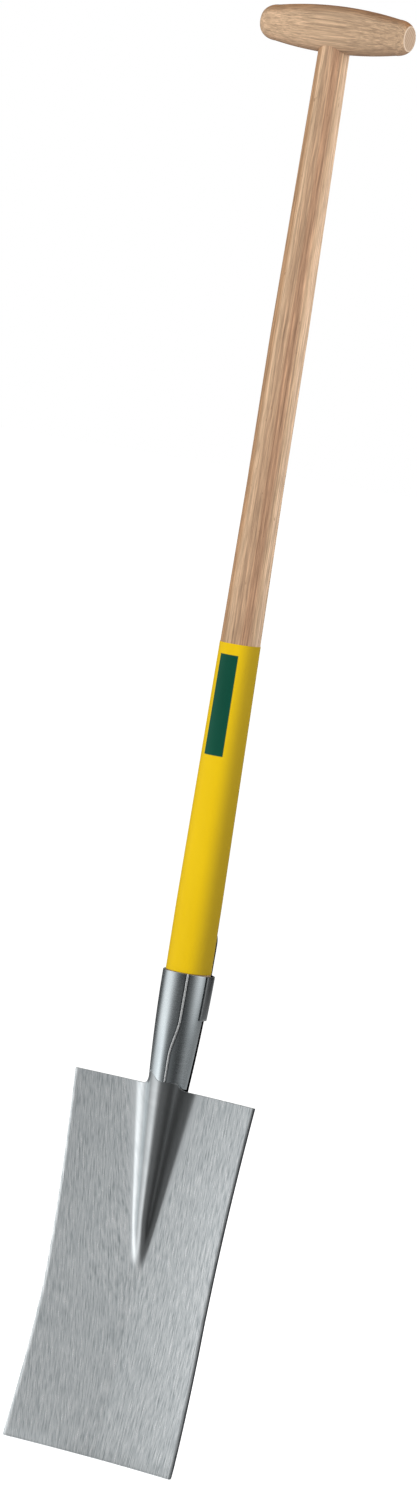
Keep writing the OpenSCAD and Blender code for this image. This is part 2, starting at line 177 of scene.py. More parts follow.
def sheet(columns, rows, point):
    """Points and faces of a closed sheet. Face 1 is its front or outside and -1 its back or inside."""
    points = [point(column, row, face) for face in (1, -1) for row in rows for column in columns]
    row_n, col_n = len(rows), len(columns)
    total = row_n * col_n

    def at(r, c):
        return r * col_n + c

    faces = []
    for r in range(row_n - 1):
        for c in range(col_n - 1):
            faces.append((at(r, c), at(r + 1, c), at(r + 1, c + 1), at(r, c + 1)))
            faces.append(tuple(total + k for k in (at(r, c), at(r, c + 1), at(r + 1, c + 1), at(r + 1, c))))
    for r in (0, row_n - 1):
        for c in range(col_n - 1):
            faces.append((at(r, c), at(r, c + 1), total + at(r, c + 1), total + at(r, c)))
    for c in (0, col_n - 1):
        for r in range(row_n - 1):
            faces.append((at(r, c), at(r + 1, c), total + at(r + 1, c), total + at(r, c)))
    return points, faces


def lathe(profile, place, segments=128, closed=False):
    """Points and faces of a turned solid from a profile of (radius, height), placed by a function."""
    points, faces, rings = [], [], []
    for radius, height in profile:
        start = len(points)
        if radius < AXIS_R:
            points.append(place(0.0, 0.0, height))
            rings.append((start, 1))
            continue
        for k in range(segments):
            turn = 2 * pi * k / segments
            points.append(place(radius * cos(turn), radius * sin(turn), height))
        rings.append((start, segments))
    pairs = list(zip(rings, rings[1:]))
    if closed:
        pairs.append((rings[-1], rings[0]))
    for (a, na), (b, nb) in pairs:
        for k in range(segments):
            n = (k + 1) % segments
            if na == 1:
                faces.append((a, b + k, b + n))
            elif nb == 1:
                faces.append((a + k, a + n, b))
            else:
                faces.append((a + k, a + n, b + n, b + k))
    return points, faces


def upright(x, y, h):
    """Places a turned shape along the shaft."""
    return x, SHAFT_Y + y, h


def sideways(x, y, h):
    """Places a turned shape along the grip."""
    return h, SHAFT_Y + y, GRIP_Z + x


def backwards(x, y, h):
    """Places a turned shape along the grip's pin, with its top at the back."""
    return x, SHAFT_Y + h, GRIP_Z + y


def cut(obj, *tools):
    """Takes the tools' volumes out of a piece and removes the tools."""
    for tool in tools:
        modifier = obj.modifiers.new("cut", "BOOLEAN")
        modifier.operation = "DIFFERENCE"
        modifier.solver = "EXACT"
        modifier.object = tool
    bpy.context.view_layer.update()
    evaluated = obj.evaluated_get(bpy.context.evaluated_depsgraph_get())
    mesh = bpy.data.meshes.new_from_object(evaluated)
    obj.modifiers.clear()
    old = obj.data
    name = old.name
    material = old.materials[0]
    obj.data = mesh
    bpy.data.meshes.remove(old)
    mesh.name = name
    finish_mesh(mesh, material, SHARP)
    for tool in tools:
        data = tool.data
        bpy.data.objects.remove(tool)
        bpy.data.meshes.remove(data)


def rounded_steps(length, radius, inner):
    """Distances along a length, close together at its two rounded edges."""
    edge = [radius * quarter(a) for a in (0, 30, 60, 90)]
    middle = [radius + (length - 2 * radius) * k / inner for k in range(1, inner)]
    return edge + middle + [length - d for d in reversed(edge)]


# Materials: places are in metres, or in millimetres where MM scales them

# Most values of a noise lie in this range
NOISE_RANGE = (0.3, 0.7)
# Sockets of the Mix node that carry colours
MIX_A, MIX_B, MIX_RESULT = 6, 7, 2


def grey(level):
    return level, level, level


class Nodes:
    """A node tree of a material or a world, built anew."""

    def __init__(self, owner):
        owner.use_nodes = True
        self.tree = owner.node_tree
        self.tree.nodes.clear()

    def add(self, kind, inputs=None, **settings):
        """A new node with its settings, and with a value or a link on each input that is given."""
        made = self.tree.nodes.new(kind)
        for key, value in settings.items():
            setattr(made, key, value)
        for key, value in (inputs or {}).items():
            self.feed(made.inputs[key], value)
        return made

    def feed(self, socket, value):
        """Links a socket to another one, or sets it to a number, a vector or a colour."""
        if isinstance(value, bpy.types.NodeSocket):
            self.tree.links.new(value, socket)
        elif isinstance(value, tuple) and len(value) == 3 and socket.type == "RGBA":
            socket.default_value = (*value, 1.0)
        else:
            socket.default_value = value

    def math(self, operation, a, b=0.0, clamp=False):
        return self.add("ShaderNodeMath", {0: a, 1: b}, operation=operation, use_clamp=clamp).outputs[0]

    def plus(self, a, b):
        return self.math("ADD", a, b)

    def minus(self, a, b, clamp=False):
        return self.math("SUBTRACT", a, b, clamp)

    def times(self, a, b):
        return self.math("MULTIPLY", a, b)

    def seen(self):
        """1 for rays that show a surface, and 0 for those that only carry light."""
        path = self.add("ShaderNodeLightPath").outputs
        shown = self.math("MAXIMUM", path["Is Camera Ray"], path["Is Glossy Ray"])
        return self.math("MAXIMUM", shown, path["Is Transmission Ray"])


class Look(Nodes):
    """A Principled material that is built node by node, in the part's own coordinates."""

    def __init__(self, name, **constants):
        self.material = bpy.data.materials.new(name)
        super().__init__(self.material)
        values = {key.replace("_", " "): value for key, value in constants.items()}
        self.shader = self.add("ShaderNodeBsdfPrincipled", values)
        self.add("ShaderNodeOutputMaterial", {"Surface": self.shader.outputs[0]})
        self.place = self.add("ShaderNodeTexCoord").outputs["Object"]

    def set(self, name, value):
        self.feed(self.shader.inputs[name], value)

    def finish(self, colour, rough, height, strength, distance):
        """Gives the material its colour, its roughness and a bump by a height, and returns it."""
        values = {"Height": height, "Strength": strength, "Distance": distance}
        self.set("Base Color", colour)
        self.set("Roughness", rough)
        self.set("Normal", self.add("ShaderNodeBump", values).outputs[0])
        return self.material

    def length(self, a, b):
        """Length of a flat vector."""
        return self.math("SQRT", self.plus(self.times(a, a), self.times(b, b)))

    def split(self, vector):
        return self.add("ShaderNodeSeparateXYZ", {0: vector}).outputs

    def join(self, x, y, z):
        return self.add("ShaderNodeCombineXYZ", {0: x, 1: y, 2: z}).outputs[0]

    def noise(self, scale, detail=2.0, rough=0.5, over=None):
        """Noise over the part or another vector, with its cells in a metre along x, y and z."""
        vector = self.place if over is None else over
        stretched = self.add("ShaderNodeMapping", {"Vector": vector, "Scale": scale}).outputs[0]
        values = {"Vector": stretched, "Scale": 1.0, "Detail": detail, "Roughness": rough}
        return self.add("ShaderNodeTexNoise", values).outputs[0]

    def span(self, value, low, high, out_low=0.0, out_high=1.0, smooth=False):
        """A value from one range in another, held at its ends."""
        values = {"Value": value, "From Min": low, "From Max": high, "To Min": out_low, "To Max": out_high}
        curve = "SMOOTHSTEP" if smooth else "LINEAR"
        return self.add("ShaderNodeMapRange", values, interpolation_type=curve).outputs[0]

    def vary(self, noise, low, high):
        """A number that follows a noise from one value to another."""
        return self.span(noise, *NOISE_RANGE, low, high)

    def ramp(self, value, stops):
        made = self.add("ShaderNodeValToRGB", {0: value})
        bands = made.color_ramp.elements
        while len(bands) < len(stops):
            bands.new(0.5)
        for band, (at, colour) in zip(bands, stops):
            band.position = at
            band.color = (*colour, 1.0)
        return made.outputs[0]

    def tint(self, noise, low, high):
        """A colour that follows a noise from one colour to another."""
        return self.ramp(noise, list(zip(NOISE_RANGE, (low, high))))

    def blend(self, amount, a, b, mode="MIX"):
        values = {0: amount, MIX_A: a, MIX_B: b}
        return self.add("ShaderNodeMix", values, data_type="RGBA", blend_type=mode).outputs[MIX_RESULT]

    def scaled(self, colour, factor):
        """A colour times a factor."""
        return self.blend(1.0, colour, self.join(factor, factor, factor), "MULTIPLY")

    def turn(self, side, front):
        """Angle about an axis, from the front."""
        return self.math("ARCTAN2", side, front)

    def stripes(self, turn, tones, wander=0.0):
        """Tones by the angle from the front in degrees, shifted by a wander in turns."""
        share = self.plus(self.span(turn, -pi, pi), wander)
        return self.ramp(share, [((angle + 180) / 360, tone) for angle, tone in tones])


# Tones of the brushed plate from its dark dashes to its bright lines
BRUSHED = [
    (0.30, (0.22, 0.25, 0.265)),
    (0.42, (0.475, 0.515, 0.53)),
    (0.50, (0.64, 0.675, 0.69)),
    (0.60, (0.80, 0.825, 0.835)),
    (0.72, (0.87, 0.89, 0.90)),
]
CLOUDED, TOE_DARK, EDGE_FACE_DARK = (0.50, 0.555, 0.575), (0.16, 0.17, 0.18), (0.07, 0.075, 0.08)
# Share of the fine lines beside the broad ones, the middle value of both, and the most that clouds cover
FINE_SHARE, STREAK_MID, CLOUD_RANGE, CLOUD_SHARE = 0.6, 0.5, (0.35, 0.7), 0.2
# Lean of the lines on the left and on the right, and where one gives way to the other
LEANS, LEAN_FADE = (-0.17, -0.01), (-0.04, 0.03)
# Darker band along the cutting edge: heights over which it fades, its waves and its strength
EDGE_BAND_FADE, EDGE_BAND_WAVE, EDGE_BAND_SHARE = (0.0015, 0.0045), 0.004, 0.45
# Painted light and shade across the dome: brightness of the steel, lighter along the left foot and darker
# over the crown and right flank, by the distance from its middle in half widths
DOME_PAINTED_LIGHT = (
    (-1.4, 1.0), (-1.02, 1.17), (-0.8, 1.19), (-0.6, 1.16), (-0.42, 0.86), (-0.15, 0.76),
    (0.1, 0.78), (0.35, 0.7), (0.55, 0.66), (0.85, 0.72), (1.1, 1.0))
# Reach of these places in half widths, the level that the ramp holds as white, and the fade at the tip
DOME_LIGHT_REACH, DOME_LIGHT_WHITE, POLISH_AND_LIGHT_BELOW, POLISH_AND_LIGHT_ABOVE = 1.5, 1.3, 4.0, 18.0
# How much of the lines is polished away on the dome, and where in half widths that fades
POLISH, POLISH_FADE = 0.8, (1.0, 1.4)
# Darkened edge faces lie outside this distance from the middle or below this height, and face aside or down
EDGE_FACE_X, EDGE_FACE_Z, EDGE_FACE_FADE = 70.0, 4.0, (0.55, 0.8)


def blade_steel():
    """Brushed steel with a polished dome, painted light and shade over the dome, and darker edge faces."""
    look = Look("brushed_blade_steel", Metallic=1.0)
    x, _, z = look.split(look.place)
    # Brush lines run along the blade on the right half and lean to the left on the other
    lean = look.span(x, *LEAN_FADE, *LEANS, smooth=True)
    across = look.minus(x, look.times(lean, z))
    flow = look.join(across, 0.0, z)
    fine = look.noise((1400, 1400, 100), detail=3, rough=0.6, over=flow)
    broad = look.noise((760, 760, 46), over=flow)
    cloud = look.noise((16, 16, 9))
    streak = look.times(fine, FINE_SHARE)
    streak = look.plus(streak, look.times(broad, 1 - FINE_SHARE))
    # The lines are mostly polished away on the dome
    dome_half = look.span(z, DOME_TIP_Z * MM, NECK_Z * MM, DOME_TIP_HALF * MM, DOME_HALF * MM)
    dome_mid = look.span(z, DOME_TIP_Z * MM, NECK_Z * MM, DOME_DRIFT * MM, 0.0)
    over = look.math("DIVIDE", look.minus(x, dome_mid), dome_half)
    raised = look.span(z, (DOME_TIP_Z - POLISH_AND_LIGHT_BELOW) * MM, (DOME_TIP_Z + POLISH_AND_LIGHT_ABOVE) * MM, smooth=True)
    polished = look.span(look.math("ABSOLUTE", over), *POLISH_FADE, POLISH, 0.0, smooth=True)
    kept = look.minus(1.0, look.times(raised, polished))
    streak = look.times(look.minus(streak, STREAK_MID), kept)
    streak = look.plus(streak, STREAK_MID)
    toned = look.ramp(streak, BRUSHED)
    toned = look.blend(look.span(cloud, *CLOUD_RANGE, 0.0, CLOUD_SHARE), toned, CLOUDED)
    # A darker band along the cutting edge
    wavy_z = look.plus(z, look.times(broad, EDGE_BAND_WAVE))
    edge = look.span(wavy_z, *EDGE_BAND_FADE, 1.0, 0.0, smooth=True)
    toned = look.blend(look.times(edge, EDGE_BAND_SHARE), toned, TOE_DARK)
    # Painted highlight along the dome's left foot and painted shade over its crown and right flank
    stops = [((side / DOME_LIGHT_REACH + 1) / 2, grey(level / DOME_LIGHT_WHITE)) for side, level in DOME_PAINTED_LIGHT]
    dome_light = look.ramp(look.span(over, -DOME_LIGHT_REACH, DOME_LIGHT_REACH), stops)
    dome_light = look.blend(raised, grey(1 / DOME_LIGHT_WHITE), dome_light)
    toned = look.scaled(look.blend(1.0, toned, dome_light, "MULTIPLY"), DOME_LIGHT_WHITE)
    # The edge faces along the sides and toe are darker than the brushed faces
    facing = look.split(look.add("ShaderNodeNewGeometry").outputs["Normal"])
    edge_face = look.math("MAXIMUM", look.math("ABSOLUTE", facing[0]), look.times(facing[2], -1.0))
    rim = look.math("GREATER_THAN", look.math("ABSOLUTE", x), EDGE_FACE_X * MM)
    rim = look.math("MAXIMUM", rim, look.math("LESS_THAN", z, EDGE_FACE_Z * MM))
    edge_face = look.times(look.span(edge_face, *EDGE_FACE_FADE), rim)
    colour = look.blend(edge_face, toned, EDGE_FACE_DARK)
    return look.finish(colour, look.vary(streak, 0.34, 0.25), streak, strength=0.16, distance=0.0004)


# Reach of the bend on both ends of the seam's slant, and the socket's mean radius
SEAM_EASE, SOCKET_MID_R = 4.0, 19.2
# Painted shade in the seam's grooves and a painted highlight on its bead
GROOVE_PAINTED_SHADE, BEAD_PAINTED_HIGHLIGHT = (0.12, 0.13, 0.14), (0.92, 0.93, 0.93)
# Fades of the bead and its grooves in millimetres from the seam, the strength of the grooves' painted shade,
# and what the bead adds to the roughness
BEAD_FADE, GROOVE_FADE, GROOVE_SHARE, BEAD_ROUGH = (0.55, 0.85), (1.2, 2.2), 0.75, 0.5


def socket_steel():
    """Smooth cool steel with faint rings round it and a welded front seam."""
    look = Look("smooth_socket_steel", Metallic=1.0)
    x, y, z = look.split(look.place)
    drop = look.minus(RIM_Z * MM, z)
    axis_y = look.minus(SHAFT_Y * MM, look.times(drop, tan(HEAD_LEAN)))
    turn = look.turn(x, look.minus(axis_y, y))
    rings = look.noise((60, 60, 1500), rough=0.6)
    cloud = look.noise((60, 60, 26), detail=3)
    base = look.tint(cloud, (0.54, 0.60, 0.63), (0.68, 0.735, 0.76))
    # The seam is a satin bead with a painted highlight, between two grooves with painted shade
    slant = ((SEAM_STRAIGHT - SEAM_EASE) * MM, (SEAM_STRAIGHT + SEAM_SLANT + SEAM_EASE) * MM)
    seam = look.span(drop, *slant, SEAM_TOP, SEAM_LOW, smooth=True)
    off = look.times(look.math("ABSOLUTE", look.minus(turn, seam)), SOCKET_MID_R)
    bead = look.span(off, *BEAD_FADE, 1.0, 0.0, smooth=True)
    groove = look.span(off, *GROOVE_FADE, 1.0, 0.0, smooth=True)
    groove = look.minus(groove, bead, clamp=True)
    base = look.blend(look.times(groove, GROOVE_SHARE), base, GROOVE_PAINTED_SHADE)
    colour = look.blend(bead, base, BEAD_PAINTED_HIGHLIGHT)
    rough = look.plus(look.vary(rings, 0.0, 0.05), look.vary(cloud, 0.2, 0.27))
    rough = look.plus(rough, look.times(bead, BEAD_ROUGH))
    return look.finish(colour, rough, rings, strength=0.05, distance=0.0002)


def collar_steel():
    """Steel a little darker than the socket's, with a cloudy surface."""
    look = Look("dull_collar_steel", Metallic=1.0)
    cloud = look.noise((90, 90, 40), detail=4, rough=0.6)
    colour = look.tint(cloud, (0.34, 0.36, 0.37), (0.44, 0.46, 0.47))
    return look.finish(colour, look.vary(cloud, 0.24, 0.34), cloud, strength=0.06, distance=0.0003)


# Tones of the strap from nearly black to brown
STRAP_TONES = [(0.35, (0.006, 0.006, 0.007)), (0.6, (0.018, 0.017, 0.017)), (0.75, (0.045, 0.038, 0.032))]


def strap_steel():
    """Nearly black steel, mottled towards brown, with a fine grain."""
    look = Look("dark_strap_steel", Metallic=0.3, Specular_IOR_Level=0.3)
    scale = look.noise((90, 90, 60), detail=5, rough=0.65)
    grain = look.noise((900, 900, 900))
    colour = look.ramp(scale, STRAP_TONES)
    return look.finish(colour, look.vary(scale, 0.42, 0.6), grain, strength=0.15, distance=0.0003)


def screw_steel():
    """Dull plated steel."""
    look = Look("dull_screw_steel", Metallic=1.0)
    grain = look.noise((700, 700, 700), detail=3)
    colour = look.tint(grain, (0.34, 0.34, 0.35), (0.5, 0.5, 0.5))
    return look.finish(colour, look.vary(grain, 0.3, 0.45), grain, strength=0.1, distance=0.0002)


# Most values of the slow noise that shifts the stripes, and the greatest shifts in turns
WANDER_RANGE, SHAFT_SHIFT, GRIP_SHIFT = (0.2, 0.8), 0.024, 0.03
# Distances below the rim between which the painted shade over the shaft's nose ends
NOSE_SHADE_DROP, NOSE_SHADE_END = 2.5, 1.5
# Painted shade of the grip, which darkens from its left to its right, and where it changes
GRIP_PAINTED_SHADE, GRIP_PAINTED_SHADE_X = (0.99, 0.81), (-0.045, 0.05)
# Tones of the ash, and their places by the angle from the front in degrees
CREAM, PALE, TAN = (0.66, 0.465, 0.32), (0.61, 0.415, 0.265), (0.465, 0.297, 0.186)
BROWN, HONEY, AMBER = (0.41, 0.24, 0.146), (0.48, 0.283, 0.156), (0.43, 0.21, 0.09)
TICK, NOSE_PAINTED_SHADE, FLECK = (0.20, 0.105, 0.055), (0.016, 0.013, 0.011), (0.74, 0.54, 0.36)
# Round the shaft the angle grows to the right
SHAFT_STRIPES = (
    (-180, TAN), (-150, PALE), (-110, TAN), (-75, PALE), (-50, HONEY), (-28, HONEY), (-13, PALE), (8, TAN),
    (24, TAN), (32, BROWN), (49, BROWN), (68, PALE), (85, CREAM), (110, PALE), (140, TAN), (180, TAN))
# Over the grip the angle grows to the top
GRIP_STRIPES = (
    (-180, TAN), (-90, BROWN), (-40, PALE), (34, PALE), (52, HONEY), (72, AMBER), (100, AMBER), (140, TAN),
    (180, TAN))
# End grain: tones of a ring, of the pores and of the painted highlight along the flat's rim, rings in a
# metre, and the pith's place
RING_TONES = [(0.0, (0.32, 0.205, 0.13)), (0.3, (0.46, 0.33, 0.235)), (1.0, (0.51, 0.375, 0.27))]
PORE, END_RIM_HIGHLIGHT = (0.33, 0.21, 0.13), (0.68, 0.53, 0.40)
RINGS, RING_WAVE, PITH_BELOW, PITH_AHEAD = 420.0, 0.004, 0.03, 0.022
# Distances in from the flat's rim over which its painted highlight fades, and from the grip's end over which
# the end grain fades
RIM_INSET, RIM_OUTSET, END_INSET, END_OUTSET = 0.75, 0.15, 0.6, 0.2


def shaft_ash():
    """Ash with long stripes round the shaft, fine fibres, a few dark ticks and painted shade over its nose
    in the socket.
    """
    look = Look("ash_shaft", Specular_IOR_Level=0.2)
    x, y, z = look.split(look.place)
    turn = look.turn(x, look.minus(SHAFT_Y * MM, y))
    wander = look.noise((34, 34, 5), detail=3)
    shift = look.span(wander, *WANDER_RANGE, -SHAFT_SHIFT, SHAFT_SHIFT)
    body = look.stripes(turn, SHAFT_STRIPES, shift)
    streak = look.noise((620, 620, 7), detail=3, rough=0.6)
    fibre = look.noise((1300, 1300, 45), detail=3, rough=0.65)
    ticks = look.noise((420, 420, 130), detail=1)
    body = look.scaled(body, look.vary(streak, 0.67, 1.29))
    body = look.scaled(body, look.vary(fibre, 0.66, 1.33))
    body = look.blend(look.span(ticks, 0.735, 0.77, 0.0, 0.5), body, TICK)
    # Painted shade: the nose inside the socket is nearly black
    hidden = look.span(z, (RIM_Z - NOSE_SHADE_DROP) * MM, (RIM_Z - NOSE_SHADE_END) * MM, 1.0, 0.0)
    colour = look.blend(hidden, body, NOSE_PAINTED_SHADE)
    height = look.plus(fibre, streak)
    return look.finish(colour, look.vary(fibre, 0.46, 0.6), height, strength=0.1, distance=0.0003)


def grip_ash():
    """Turned ash with its grain along the grip, ray flecks and end grain on both flats."""
    look = Look("ash_grip", Specular_IOR_Level=0.2)
    x, y, z = look.split(look.place)
    up = look.minus(z, GRIP_Z * MM)
    front = look.minus(SHAFT_Y * MM, y)
    wander = look.noise((14, 60, 60), detail=3)
    shift = look.span(wander, *WANDER_RANGE, -GRIP_SHIFT, GRIP_SHIFT)
    body = look.stripes(look.turn(up, front), GRIP_STRIPES, shift)
    streak = look.noise((11, 720, 720), detail=3, rough=0.65)
    fibre = look.noise((34, 1500, 1500), detail=3, rough=0.65)
    fleck = look.noise((150, 800, 800))
    # Painted shade: the grip darkens to the right
    body = look.scaled(body, look.span(x, *GRIP_PAINTED_SHADE_X, *GRIP_PAINTED_SHADE, smooth=True))
    body = look.scaled(body, look.vary(streak, 0.68, 1.28))
    body = look.scaled(body, look.vary(fibre, 0.70, 1.27))
    body = look.blend(look.span(fleck, 0.60, 0.72, 0.0, 0.35), body, FLECK)
    # End grain: faint rings and pores, and a painted highlight along the flat's rim
    pith = look.length(look.plus(up, PITH_BELOW), look.minus(front, PITH_AHEAD))
    pith = look.plus(pith, look.times(wander, RING_WAVE))
    end = look.ramp(look.math("FRACT", look.times(pith, RINGS)), RING_TONES)
    pores = look.noise((100, 2200, 2200), detail=1)
    end = look.blend(look.span(pores, 0.58, 0.7, 0.0, 0.5), end, PORE)
    from_rim = ((GRIP_FLAT_R - RIM_INSET) * MM, (GRIP_FLAT_R - RIM_OUTSET) * MM)
    end = look.blend(look.span(look.length(up, front), *from_rim, smooth=True), end, END_RIM_HIGHLIGHT)
    from_end = ((GRIP_LEN / 2 - END_INSET) * MM, (GRIP_LEN / 2 - END_OUTSET) * MM)
    at_end = look.span(look.math("ABSOLUTE", x), *from_end)
    colour = look.blend(at_end, body, end)
    height = look.plus(fibre, streak)
    return look.finish(colour, look.vary(fibre, 0.46, 0.6), height, strength=0.1, distance=0.0003)


# Film: where its painted shade round the right side and its blank printed panel lie, in radians from the
# front and metres up
PAINTED_SHADE_TURNS, PAINTED_SHADE_SOFT, PAINTED_SHADE_SHARE = (radians(43), radians(150)), 0.5, 0.9
FILM_PAINTED_SHADE = (0.42, 0.28, 0.012)
PANEL_TURNS, PANEL_HEIGHTS = (radians(-30), radians(28)), (0.5705, 0.652)
# Softness of the panel's edges across and up, and its height beside the grain's
PANEL_SOFT_TURN, PANEL_SOFT_Z, PANEL_RELIEF = 0.02, 0.0004, 1.5


def sleeve_film():
    """Yellow film with painted shade round its right side, and a blank dark green panel."""
    look = Look("yellow_sleeve_film", Specular_IOR_Level=0.12)
    x, y, z = look.split(look.place)
    turn = look.turn(x, look.minus(SHAFT_Y * MM, y))
    haze = look.noise((30, 30, 7), detail=3)
    grain = look.noise((900, 900, 900))
    film = look.tint(haze, (0.80, 0.52, 0.004), (0.86, 0.575, 0.006))

    def band(value, low, high, soft):
        rise = look.span(value, low - soft, low + soft, smooth=True)
        fall = look.span(value, high - soft, high + soft, 1.0, 0.0, smooth=True)
        return look.times(rise, fall)

    # Painted shade: the film is darker round its right side
    right_shade = band(turn, *PAINTED_SHADE_TURNS, PAINTED_SHADE_SOFT)
    film = look.blend(look.times(right_shade, PAINTED_SHADE_SHARE), film, FILM_PAINTED_SHADE)
    panel = band(z, *PANEL_HEIGHTS, PANEL_SOFT_Z)
    panel = look.times(panel, band(turn, *PANEL_TURNS, PANEL_SOFT_TURN))
    print_tone = look.tint(haze, (0.003, 0.062, 0.036), (0.006, 0.085, 0.052))
    colour = look.blend(panel, film, print_tone)
    relief = look.plus(grain, look.times(panel, PANEL_RELIEF))
    return look.finish(colour, rough=0.42, height=relief, strength=0.06, distance=0.0002)


BLADE_LOOK = blade_steel()
SOCKET_LOOK = socket_steel()
COLLAR_LOOK = collar_steel()
STRAP_LOOK = strap_steel()
SCREW_LOOK = screw_steel()
SHAFT_LOOK = shaft_ash()
GRIP_LOOK = grip_ash()
SLEEVE_LOOK = sleeve_film()


# Blade

# Rounding of the plate's edges, and the faint fold below the dome
EDGE_ROUND, CREASE_DEPTH, CREASE_W, CREASE_FADE = 0.35, 0.18, 30.0, 40.0
# Least slope of the dome, which keeps its arcs finite below the tip
FLAT_SLOPE = radians(0.01)
# The ground ear that laps the socket's left side, as angles from the front and rises above the neck
EAR = ((-62, 0.0), (-51, 3.2), (-45, 5.4), (-39, 6.1), (-33, 5.4), (-21, 3.1), (-9, 0.5), (-3, 0.0))
# Steps over the zones of one half of the blade, and up its bevel and its body
CROWN_STEPS, FILLET_STEPS, PLATE_STEPS, BEVEL_STEPS, BODY_STEPS = 22, 20, 24, 4, 120


def ear(turn):
    """Rise of the blade's top above the neck, by the angle from the front."""
    angles, rises = zip(*EAR)
    return float(np.interp(degrees(turn), angles, rises))


def half_w(z):
    if z >= WAIST_Z:
        width = mix(WAIST_W, TOP_W, ((z - WAIST_Z) / (BLADE_H - WAIST_Z)) ** FLARE_UP)
    else:
        width = mix(WAIST_W, EDGE_W, ((WAIST_Z - z) / WAIST_Z) ** FLARE_DOWN)
    return width / 2 - corner_loss(z, TOE_CORNER) - corner_loss(BLADE_H - z, SHOULDER_CORNER)


def dome_half_at(z):
    return mix(DOME_TIP_HALF, DOME_HALF, min(1.0, max(0.0, (z - DOME_TIP_Z) / (NECK_Z - DOME_TIP_Z))))


def dome_slope_at(z):
    return max(FLAT_SLOPE, DOME_SLOPE * ease((z - DOME_TIP_Z) / DOME_FADE))


def drift(x, z):
    """Sideways shift that carries the dome's tip to the right and leaves the blade's sides in place."""
    down = min(1.0, max(0.0, (NECK_Z - z) / (NECK_Z - DOME_TIP_Z)))
    return DOME_DRIFT * down * max(0.0, 1 - abs(x) / half_w(min(z, BLADE_H)))


def crease(x, z):
    """Depth of the faint fold that the pressing leaves down the middle below the dome."""
    return CREASE_DEPTH * exp(-x / CREASE_W) * ease((DOME_TIP_Z + CREASE_FADE / 2 - z) / CREASE_FADE)


def blade_point(column, row_z, face):
    """Point of the blade. A column has a side -1 or 1, a zone across the blade and a share k of it."""
    side, zone, k = column
    if zone == "crown":
        rise = NECK_RISE + (ear(-DOME_SLOPE * k) if side < 0 else 0.0)
    elif zone == "fillet":
        rise = (NECK_RISE + (ear(-DOME_SLOPE) if side < 0 else 0.0)) * (1 - k) ** SWEEP_UP
    else:
        rise = 0.0
    z = row_z * (1 + rise / BLADE_H)
    dome_z = min(z, NECK_Z)
    slope_max, half = dome_slope_at(dome_z), dome_half_at(dome_z)
    reach = half / sin(slope_max)
    from_side = inf
    if zone == "crown":
        slope = slope_max * k
        x = CROWN_SHARE * reach * sin(slope)
        lift = half * tan(slope_max / 2) - CROWN_SHARE * reach * (1 - cos(slope))
    elif zone == "fillet":
        slope = slope_max * (1 - k)
        x = half - (1 - CROWN_SHARE) * reach * sin(slope)
        lift = (1 - CROWN_SHARE) * reach * (1 - cos(slope))
    else:
        slope, lift = 0.0, 0.0
        wide = half_w(min(z, BLADE_H))
        x = mix(half, wide, k)
        from_side = wide - x
    tilt_x = sin(slope) - 2 * DISH * x / (WAIST_W / 2) ** 2 * cos(slope)
    tilt_y = cos(slope)
    thick = mix(EDGE_T, BLADE_T, min(1.0, z / BEVEL_H)) / 2
    thick -= corner_loss(min(from_side, z, BLADE_H + rise - z), EDGE_ROUND)
    half_t = face * thick / hypot(tilt_x, tilt_y)
    ahead = DISH * (x / (WAIST_W / 2)) ** 2 + lift + tilt_y * half_t - crease(x, z)
    # Above the neck the ear follows the socket's wall
    swell = max(0.0, socket_r(RIM_Z - z) - NECK_R)
    across = side * (x + tilt_x * half_t + swell * sin(slope))
    return across + drift(across, z), plate_y(z) - ahead - swell * cos(slope), z


def make_blade():
    across = [("crown", k / CROWN_STEPS) for k in range(CROWN_STEPS + 1)]
    across += [("fillet", k / FILLET_STEPS) for k in range(1, FILLET_STEPS + 1)]
    across += [("plate", k / PLATE_STEPS) for k in range(1, PLATE_STEPS)]
    plate_w = TOP_W / 2 - DOME_TIP_HALF
    across += [("plate", 1 - EDGE_ROUND * quarter(a) / plate_w) for a in (90, 60, 30, 0)]
    columns = [(-1, *c) for c in reversed(across[1:])] + [(1, *c) for c in across]
    shoulder_z = BLADE_H - SHOULDER_CORNER
    heights = [EDGE_ROUND * quarter(a) for a in (0, 30, 60, 90)]
    heights += [TOE_CORNER * quarter(a) for a in (45, 60, 75, 90)]
    heights += [mix(TOE_CORNER, BEVEL_H, k / BEVEL_STEPS) for k in range(1, BEVEL_STEPS)]
    heights += [mix(BEVEL_H, shoulder_z, k / BODY_STEPS) for k in range(BODY_STEPS)]
    heights += [BLADE_H - SHOULDER_CORNER * quarter(a) for a in (90, 75, 60, 45, 30, 15, 0)]
    shape = sheet(columns, heights, blade_point)
    piece("blade_plate", *shape, "blade", "blade_steel", BLADE_LOOK)


# Socket, collar and strap

# Rounding of the sheets' edges, and steps round and down the socket and the collar and along the foot
SOCKET_LIP, COLLAR_LIP, STRAP_LIP = 0.25, 0.45, 0.45
SOCKET_SIDES, SOCKET_ROWS, COLLAR_SIDES, COLLAR_ROWS, FOOT_STEPS = 34, 72, 84, 20, 40
# Half widths of the bead that its close columns reach over on each side, and columns in a half width
BEAD_REACH, BEAD_STEPS = 2, 8
# Grooves beside the bead: depth, and place and width in half widths of the bead
GROOVE_DEPTH, GROOVE_AT, GROOVE_W = 0.09, 1.1, 0.3
# The bead is shaded smooth up to this angle in degrees
BEAD_SHARP = 60
COLLAR_ARC = (2 * pi - COLLAR_RIGHT - COLLAR_LEFT) * RIM_R
TONGUE_ROUND = TONGUE_W / 2 - TONGUE_TIP
# Steps of the strap, its places near the edge in half widths, and how far its even middle reaches
STRAP_ROWS, STRAP_COLUMNS, STRAP_EDGE, STRAP_MIDDLE = 90, 25, [1.0, 0.994, 0.985, 0.97], 0.93


